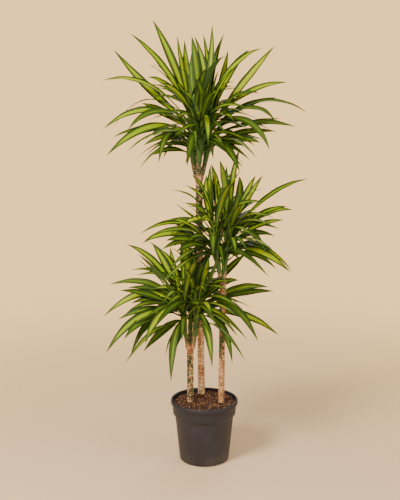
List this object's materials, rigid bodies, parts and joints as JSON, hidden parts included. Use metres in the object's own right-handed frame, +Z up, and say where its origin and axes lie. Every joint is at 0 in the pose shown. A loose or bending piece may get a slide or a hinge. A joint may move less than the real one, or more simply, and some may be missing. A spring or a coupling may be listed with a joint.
{
  "type": "potted corn plant",
  "caption": "Tall corn plant with bare ringed canes of stepped heights, each topped by rosettes of long striped leaves, in a tapered dark grower's pot filled with soil.",
  "frame": {"origin": "centre of the pot's base, on the surface that it stands on", "axes": "+Z up along the plant, -Y towards the front, +X to the right seen from the front"},
  "size_m": [0.7098, 0.6666, 1.5531],
  "materials": {
    "pot_plastic": "moulded matt anthracite plastic",
    "potting_soil": "loose coarse peat and coir",
    "cane_bark": "dry ringed bark with green patches",
    "leaf": "smooth satin leaf, dark margins and a lime stripe"
  },
  "bodies": {
    "root": {"pot": "pot_plastic", "soil": "potting_soil", "cane_tall": "cane_bark", "cane_right": "cane_bark", "cane_left": "cane_bark", "crown_top": "leaf", "crown_middle": "leaf", "crown_low": "leaf"}
  },
  "joints": []
}
